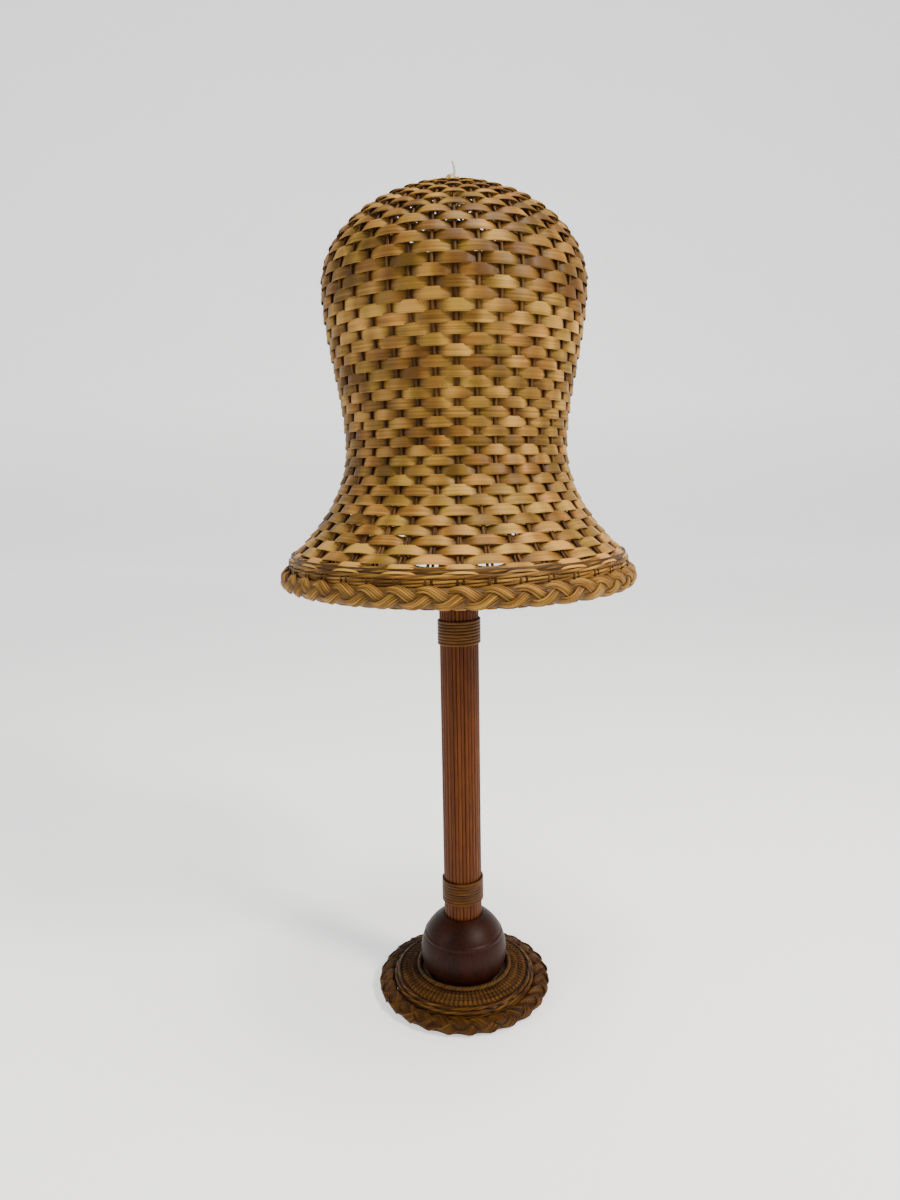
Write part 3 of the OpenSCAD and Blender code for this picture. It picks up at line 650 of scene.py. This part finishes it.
def make_rim():
    """The rim's plait, outside and inside over a core, and the rounds of twined reed above it."""
    strand_r, depth = 1.2 * MM, 1.9 * MM
    middle, half = section_of("shade_rim_braid", depth + strand_r + 0.2 * MM)
    braid = Strands()
    plait(braid, middle, half, 8, 60, SPOKES, depth, strand_r, members=5)
    braid.build("shade_rim_plait", rim_reed, "shade", "rim_reed", ["shade_rim_braid"])
    inner = Strands()
    plait(inner, middle, half, 184, 62, SPOKES, depth, strand_r, members=5, samples=14)
    plain_hoop(inner, *middle, half[0] + 0.3 * MM, half[1] + 0.3 * MM, recess=0.85)
    inner.build("shade_rim_plait_inside", rim_reed, "shade", "rim_reed", ["shade_rim_braid"])

    wale_lo, wale_hi = low("shade_wale"), high("shade_wale")
    quarter = (wale_hi[2] - wale_lo[2]) / 4
    wale = Strands()
    wale_r = wale_hi[0] - quarter
    for level, start in ((-0.6, 2.2), (1, 0.0), (3, 1.1)):
        rope_round(wale, wale_r, wale_lo[2] + level * quarter, 1.15 * MM, 1.55 * MM, 14, start=start)
    rope_round(wale, wale_r - 3.0 * MM, wale_lo[2] + 5 * quarter, 1.1 * MM, 1.5 * MM, 14, start=0.6)
    rope_round(wale, wale_r - 8.0 * MM, wale_lo[2] + 5.8 * quarter, 1.1 * MM, 1.6 * MM, 14, start=1.9)
    plain_hoop(wale, wale_r - 1.6 * MM, wale_lo[2] + 2.2 * quarter, 1.2 * MM, 4.2 * quarter, recess=0.9)
    wale.build("shade_wale_twist", rim_reed, "shade", "rim_reed", ["shade_wale"])


# ---------------------------------------------------------------- the foot

def make_foot():
    """The foot's plait, the twined rounds inside it, the cover's weave and the ring at the ball."""
    strand_r, depth, stitches = 1.1 * MM, 1.1 * MM, 26
    middle, half = section_of("base_braid", depth + strand_r + 0.2 * MM)
    braid = Strands()
    plait(braid, middle, half, 58, 84, stitches, depth, strand_r, members=6)
    plain_hoop(braid, *middle, half[0] + 0.5 * MM, half[1] + 0.5 * MM, recess=0.6)
    braid.build("base_plait", foot_reed, "stand", "foot_braid", ["base_braid"])

    wale = Strands()
    wale_r = (high("base_wale")[2] - low("base_wale")[2]) / 2
    wale_mid = high("base_wale")[0] - wale_r
    rope_round(wale, wale_mid, low("base_wale")[2] + wale_r, 1.1 * MM, 1.5 * MM, 11)
    rope_round(wale, wale_mid + 3.6 * MM, low("base_wale")[2] - 1.4 * MM, 1.1 * MM, 1.6 * MM, 11, start=1.3)
    rope_round(wale, wale_mid + 2.4 * MM, low("base_wale")[2] - 6.5 * MM, 1.1 * MM, 1.7 * MM, 11, start=2.1)
    plain_hoop(wale, wale_mid + 2.2 * MM, low("base_wale")[2] - 9 * MM, 1.9 * MM, 8.5 * MM, recess=0.8)
    wale.build("base_wale_twist", foot_reed, "stand", "foot_reed", ["base_wale"])

    cover = Strands()
    inner_r = high("foot_ring")[0] + 0.4 * MM
    outer_r = high("base_cover")[0]
    top = high("base_cover")[2]
    edge = low("base_cover")[2] + 4.2 * MM
    rows = 11
    pitch = (outer_r - inner_r) / rows
    ridges = 84
    for row in range(rows):
        radius = inner_r + (row + 0.5) * pitch
        height = edge + (top - edge) * (1 - row / rows) ** 0.8 - 1.2 * MM
        turn = np.linspace(0, TAU, ridges * 8, endpoint=False)
        phase = ridges * turn + 0.5 * math.sin(row * 2.3)
        bob = 0.75 * MM * np.cos(phase)
        points = around(turn, radius + 0.2 * MM * np.sin(phase), height + bob)
        # painted shade where each cover strand dips down between the ridges
        cover.tube(points, pitch * 0.56, 6, rng.uniform(0, 1), 0.45 - 0.45 * np.cos(phase), True)
    cover.build("base_cover_weave", foot_reed, "stand", "foot_reed", ["base_cover"])

    ring = Strands()
    ring_lo, ring_hi = low("foot_ring"), high("foot_ring")
    ply_r, twist_r, twists = 1.95 * MM, 1.6 * MM, 26
    ring_r = ring_hi[0] - ply_r - twist_r
    for height, start in ((ring_lo[2] + ply_r + twist_r, 0.0), (ring_hi[2] - ply_r - twist_r, 1.0)):
        rope_round(ring, ring_r, height, twist_r, ply_r, twists, start=start)
    ring.build("foot_ring_reed", pale_reed, "stand", "pale_reed", ["foot_ring"])


def make_ball():
    """The turned ball, with a low bead between two fine grooves on its shoulder."""
    lo, hi = low("wood_ball"), high("wood_ball")
    radius = hi[0]
    centre_z = lo[2] + 34.5 * MM
    bead_z, bead_r = 25 * MM, 1.6 * MM
    foot_angle = math.asin((lo[2] - centre_z) / radius)
    top_angle = math.asin((hi[2] - centre_z) / radius)
    bead_angle = math.asin(bead_z / radius)
    outline_ = [(0, lo[2])]
    for angle in np.linspace(foot_angle, top_angle, 90):
        from_bead = (angle - bead_angle) * radius / bead_r
        swell = 0.6 * MM * math.exp(-from_bead ** 2) - 0.35 * MM * math.exp(-(abs(from_bead) - 1.9) ** 2 * 2)
        reach = radius + swell - 0.2 * MM
        outline_.append((reach * math.cos(angle), centre_z + reach * math.sin(angle)))
    neck_r = high("pole_reeds")[0] + 0.4 * MM
    outline_ += [(outline_[-1][0] - 0.8 * MM, hi[2] + 0.1 * MM), (neck_r, hi[2]),
                 (neck_r, low("pole_reeds")[2]), (0, low("pole_reeds")[2])]
    turned("wood_ball_turned", outline_, ball_wood, "stand", ["wood_ball"])


# ---------------------------------------------------------------- the pole

def make_pole():
    """Split reeds set upright round the pole, their round sides out."""
    lo, hi = low("pole_reeds"), high("pole_reeds")
    reeds = 32
    reed_r = math.pi * hi[0] / reeds * 0.985
    strands = Strands()
    bend = np.linspace(-0.62 * math.pi, 0.62 * math.pi, 9)
    heights = np.linspace(lo[2], hi[2], 40)
    for reed in range(reeds):
        turn = TAU * (reed + 0.5) / reeds
        size = reed_r * rng.uniform(0.97, 1.02)
        section = np.stack([np.sin(bend) * size, np.cos(bend) * size * 0.92], -1)
        section = np.concatenate([section, [(size * 0.5, -size * 0.9), (-size * 0.5, -size * 0.9)]])
        drift = 0.25 * MM * np.sin(heights * 9 + rng.uniform(0, TAU)) / hi[0]
        path = around(turn + drift, hi[0] - size * 0.97 - rng.uniform(0, 0.25) * MM, heights)
        outward = around(turn + drift, 1.0, 0.0)
        side = np.cross(outward, np.broadcast_to(np.array([0.0, 0, 1]), outward.shape))
        strands.sweep(path, side, outward, section, rng.uniform(0, 1), np.zeros(len(heights)))
    strands.build("pole_reeds_split", pole_reed, "stand", "pole_reed", ["pole_reeds"])


def binding(name, node, turns, material, slot):
    """Cane wound tightly round the pole, as one helix."""
    lo, hi = low(node), high(node)
    pitch = (hi[2] - lo[2]) / turns
    inner = high("pole_reeds")[0] + 0.1 * MM
    steps_per_turn, start = 72, 0.8
    turn = np.linspace(0, (turns - 1) * TAU, int((turns - 1) * steps_per_turn)) + start
    height = lo[2] + pitch / 2 + (turn - turn[0]) / TAU * pitch
    thick = (hi[0] - inner) / 2
    path = around(turn, inner + thick * 0.95, height)
    outward = around(turn, 1.0, 0.0)
    up = np.broadcast_to(np.array([0.0, 0, 1]), outward.shape)
    bend = np.linspace(0, math.pi, 9)
    section = np.concatenate([
        np.stack([np.cos(bend) * pitch * 0.485, np.sin(bend) ** 0.7 * thick], -1),
        [(-pitch * 0.46, -thick * 0.7), (pitch * 0.46, -thick * 0.7)]])
    strands = Strands()
    strands.sweep(path, up, outward, section, rng.uniform(0, 1))
    strands.build(name, material, "stand", slot, [node])


# ---------------------------------------------------------------- harp, bulb and crown

def make_harp():
    lo, hi = low("harp"), high("harp")
    wire_r = (hi[1] - lo[1]) / 2
    half_w = hi[0] - wire_r
    leg_x = 30.9 * MM
    bend_z = lo[2] + 38 * MM
    bend_r = 30 * MM
    turn = math.acos(1 - (half_w - leg_x) / (2 * bend_r))
    side_z = bend_z + 2 * bend_r * math.sin(turn)
    arch_z = hi[2] - wire_r - half_w
    path = [(leg_x, lo[2])] + [(leg_x, z) for z in np.linspace(lo[2] + 4 * MM, bend_z, 6)]
    path += [(leg_x + bend_r * (1 - math.cos(a)), bend_z + bend_r * math.sin(a))
             for a in np.linspace(0.1, turn, 8)]
    path += [(half_w - bend_r * (1 - math.cos(a)), side_z - bend_r * math.sin(a))
             for a in np.linspace(turn - 0.1, 0, 8)]
    path += [(half_w, z) for z in np.linspace(side_z + 10 * MM, arch_z - 5 * MM, 14)]
    path += [(half_w * math.cos(a), arch_z + half_w * math.sin(a))
             for a in np.linspace(0, math.pi / 2 - 0.08, 26)]
    strands = Strands()
    for side in (-1, 1):
        points = [(side * x, 0, z) for x, z in path]
        strands.tube(points, wire_r, 16, up=(0, 1, 0))
    strands.build("harp_wire", brass, "harp", "brass", ["harp"])


def make_bulb():
    """The bulb's glass, and its shell with the thread as turned rings."""
    lo, hi = low("bulb_glass"), high("bulb_glass")
    radius = hi[0]
    mid_z = hi[2] - radius
    neck_r = high("bulb_base")[0] - 0.8 * MM
    neck_z = lo[2]
    curve = [(0, neck_z), (neck_r * 0.7, neck_z), (neck_r, neck_z + 1 * MM), (neck_r, neck_z + 12 * MM)]
    join = math.radians(-38)
    start = np.array([neck_r, neck_z + 12 * MM])
    stop = np.array([radius * math.cos(join), mid_z + radius * math.sin(join)])
    pull = np.array([0, 18 * MM])
    push = np.array([math.sin(-join), math.cos(join)]) * 16 * MM
    for u in np.linspace(0.06, 1, 16):
        b = [(1 - u) ** 3, 3 * u * (1 - u) ** 2, 3 * u ** 2 * (1 - u), u ** 3]
        curve.append(tuple(b[0] * start + b[1] * (start + pull) + b[2] * (stop - push) + b[3] * stop))
    curve += [(radius * math.cos(a), mid_z + radius * math.sin(a))
              for a in np.linspace(join + 0.06, math.pi / 2, 40)]
    curve[-1] = (0, mid_z + radius)
    turned("bulb_glass_blown", curve, bulb_white, "bulb", ["bulb_glass"], 96, 80)

    base_lo, base_hi = low("bulb_base"), high("bulb_base")
    shell = [(0, base_lo[2]), (7.6 * MM, base_lo[2]), (11.2 * MM, base_lo[2] + 3.2 * MM)]
    thread_lo, thread_hi = base_lo[2] + 3.6 * MM, base_hi[2] - 4 * MM
    threads = 5
    for z in np.linspace(thread_lo, thread_hi, threads * 10 + 1):
        swing = 0.5 + 0.5 * math.cos(TAU * threads * (z - thread_lo) / (thread_hi - thread_lo))
        shell.append((base_hi[0] - (0.2 + 1.1 * swing) * MM, z))
    shell += [(base_hi[0] - 1.2 * MM, base_hi[2] - 3 * MM), (base_hi[0] - 0.2 * MM, base_hi[2] - 2 * MM),
              (base_hi[0] - 0.2 * MM, base_hi[2]), (neck_r, base_hi[2])]
    turned("bulb_base_shell", shell, aluminium, "bulb", ["bulb_base"], 96, 60)


def make_crown_nut():
    """A low knurled nut with a waisted neck."""
    lo, hi = low("crown_nut"), high("crown_nut")
    r = hi[0]
    neck_r = NUT_NECK_R
    z0, z1 = lo[2], hi[2]
    curve = [(3.1 * MM, z0), (r - 0.6 * MM, z0), (r, z0 + 0.6 * MM), (r, z0 + 2.0 * MM),
             (r - 0.6 * MM, z0 + 2.6 * MM), (neck_r + 0.3 * MM, z0 + 2.7 * MM), (neck_r, z0 + 3.2 * MM),
             (neck_r, z0 + 6.3 * MM), (neck_r + 0.3 * MM, z0 + 6.8 * MM), (r - 0.7 * MM, z0 + 6.9 * MM),
             (r - 0.1 * MM, z0 + 7.5 * MM), (r - 0.1 * MM, z1 - 2.6 * MM), (r - 0.8 * MM, z1 - 1.8 * MM),
             (r - 3 * MM, z1 - 0.4 * MM), (0, z1)]
    knurls, knurl_depth = 36, 0.045
    verts, faces = lathe(curve, 144)
    radial = np.hypot(verts[:, 0], verts[:, 1])
    turn = np.arctan2(verts[:, 1], verts[:, 0])
    knurled = radial > r - 0.2 * MM
    pinch = 1 - knurl_depth * (0.5 + 0.5 * np.cos(knurls * turn)) * knurled
    verts[:, 0] *= pinch
    verts[:, 1] *= pinch
    mesh = bpy.data.meshes.new("crown_nut_knurled")
    mesh.from_pydata(verts.tolist(), [], faces.tolist())
    mesh.validate()
    piece = place(bpy.data.objects.new("crown_nut_knurled", mesh), brass, "crown_nut", ["crown_nut"])
    piece.modifiers.new("weld", "WELD").merge_threshold = WELD
    mesh.shade_smooth()
    mesh.set_sharp_from_angle(angle=math.radians(40))


def make_crown_cord():
    """A cotton tie, laid from three plies: a loop round the nut's neck, a knot and a short tail."""
    cord_r = 1.5 * MM
    lay = 5 * MM
    hoop_r = NUT_NECK_R + cord_r + 0.2 * MM
    loop_z = low("crown_nut")[2] + 4.6 * MM
    strands = Strands()

    def laid(points, closed=False):
        points = np.asarray(points, float)
        step = np.roll(points, -1, 0) - np.roll(points, 1, 0) if closed else np.gradient(points, axis=0)
        step /= np.linalg.norm(step, axis=1)[:, None]
        side = np.cross(step, (0.3, 1, 0.05))
        side /= np.linalg.norm(side, axis=1)[:, None]
        up = np.cross(side, step)
        along = np.concatenate([[0], np.cumsum(np.linalg.norm(np.diff(points, axis=0), axis=1))])
        for ply in range(3):
            phase = along / lay * TAU + TAU * ply / 3
            offset = (side * (np.cos(phase) * cord_r * 0.5)[:, None]
                      + up * (np.sin(phase) * cord_r * 0.5)[:, None])
            strands.tube(points + offset, cord_r * 0.56, 8, rng.uniform(0, 1), up=side)

    turn = np.linspace(0, TAU, 90)
    wrap = around(turn, hoop_r, loop_z + 0.12 * MM * np.sin(turn))
    laid(wrap)
    knot = np.array([0, -hoop_r - 0.8 * MM, loop_z])
    tail_r = 21.5 * MM
    lean = math.radians(28)
    centre = knot - np.array([tail_r * math.cos(lean), 0, -tail_r * math.sin(lean)])
    bend = np.linspace(-lean, lean, 60)
    tail = centre + np.stack([tail_r * np.cos(bend), 0 * bend, tail_r * np.sin(bend)], -1)
    laid(tail)
    for axis in (0.0, 1.05, 2.1):
        ring = np.linspace(0, TAU, 28)
        loop = np.stack([0.9 * np.cos(ring), np.sin(ring) * math.cos(axis),
                         np.sin(ring) * math.sin(axis)], -1)
        laid(knot + loop * 1.5 * MM)
    strands.build("crown_cord_tie", cotton, "crown_nut", "cotton", ["crown_cord"])


# ---------------------------------------------------------------- carried-over CAD nodes

def dress(material, *nodes):
    """Gives a material to CAD nodes that are kept as they are."""
    for node in nodes:
        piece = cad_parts[node]
        piece.data.materials.clear()
        piece.data.materials.append(material)


dress(felt, "felt_pad")
dress(iron, "base_weight")
dress(board_wood, "base_board", "pole_core")
dress(bushing_brown, "cord_bushing")
dress(brass, "lamp_rod", "harp_saddle", "socket_cap", "socket_shell", "screw_shell", "centre_contact",
      "harp_ferrule_left", "harp_ferrule_right", "harp_hub", "harp_stud", "crown_washer", "crown_plate")
dress(steel, "bottom_washer", "bottom_nut", "saddle_nut")
dress(cap_wood, "pole_cap")
dress(card, "socket_liner")
dress(insulator, "socket_body")
dress(black_plastic, "switch_key")
dress(aluminium, "bulb_tip")

make_weave()
make_spokes()
make_rim()
make_foot()
make_ball()
make_pole()
binding("bottom_binding_cane", "bottom_binding", 9, cane_gold, "cane_gold")
binding("top_binding_cane", "top_binding", 9, cane_dark, "cane_dark")
make_harp()
make_bulb()
make_crown_nut()
make_crown_cord()


# ---------------------------------------------------------------- floor, light and camera

def make_floor():
    """A pale floor that bends up into a wall behind the lamp."""
    n = Nodes("floor")
    place_ = n.add("TexCoord").outputs["Object"]
    grain = n.noise(place_, 3, 2)
    colour = n.ramp(grain, (0.3, (0.90, 0.895, 0.89)), (0.7, (0.93, 0.925, 0.92)))
    material = n.finish(colour, 0.7, Emission_Color=(1, 1, 1, 1), Emission_Strength=0.8)
    size, rise, bend, front_y, half_width = 6.0, 5.0, 1.2, -9.0, 2.2 * 6.0
    points = [(front_y, 0.0)] + [(size - bend + bend * math.sin(a), bend - bend * math.cos(a))
                              for a in np.linspace(0, math.pi / 2, 12)] + [(size, rise)]
    verts = [(x, y, z) for x in (-half_width, half_width) for y, z in points]
    count = len(points)
    faces = [(i, i + 1, count + i + 1, count + i) for i in range(count - 1)]
    mesh = bpy.data.meshes.new("floor")
    mesh.from_pydata(verts, [], faces)
    mesh.shade_smooth()
    floor = bpy.data.objects.new("floor", mesh)
    floor.data.materials.append(material)
    bpy.context.scene.collection.objects.link(floor)


def area_light(name, place_, aim, size, power, colour=(1, 1, 1)):
    light = bpy.data.lights.new(name, "AREA")
    light.shape = "DISK"
    light.size = size
    light.energy = power
    light.color = colour
    piece = bpy.data.objects.new(name, light)
    piece.location = place_
    piece.rotation_euler = (Vector(aim) - Vector(place_)).to_track_quat("-Z", "Y").to_euler()
    bpy.context.scene.collection.objects.link(piece)


def make_light():
    area_light("key", (2.0, -1.35, 2.4), (0, 0, 0.8), 0.7, 120, (1.0, 0.95, 0.88))
    area_light("fill", (-2.3, -1.0, 1.7), (0, 0, 0.7), 1.4, 26, (1.0, 0.98, 0.95))
    area_light("top", (0.3, -0.3, 2.8), (0, 0, 0.9), 1.0, 55, (1.0, 0.97, 0.92))
    world = bpy.data.worlds.new("studio")
    world.use_nodes = True
    world.node_tree.nodes["Background"].inputs["Color"].default_value = (0.97, 0.98, 1.0, 1)
    world.node_tree.nodes["Background"].inputs["Strength"].default_value = 0.3
    bpy.context.scene.world = world


def make_camera():
    """The photograph's view: about a metre in front of the lamp, a little above the waist, tilted down."""
    camera = bpy.data.cameras.new("camera")
    camera.lens = 24.5
    camera.sensor_width = 36
    piece = bpy.data.objects.new("camera", camera)
    piece.location = (-0.011, -1.03, 0.7026)
    tilt_down, roll = math.radians(9.23), math.radians(-0.95)
    turn = Matrix.Rotation(math.pi / 2 - tilt_down, 3, "X") @ Matrix.Rotation(roll, 3, "Z")
    piece.rotation_euler = turn.to_euler()
    bpy.context.scene.collection.objects.link(piece)
    bpy.context.scene.camera = piece


make_floor()
make_light()
make_camera()
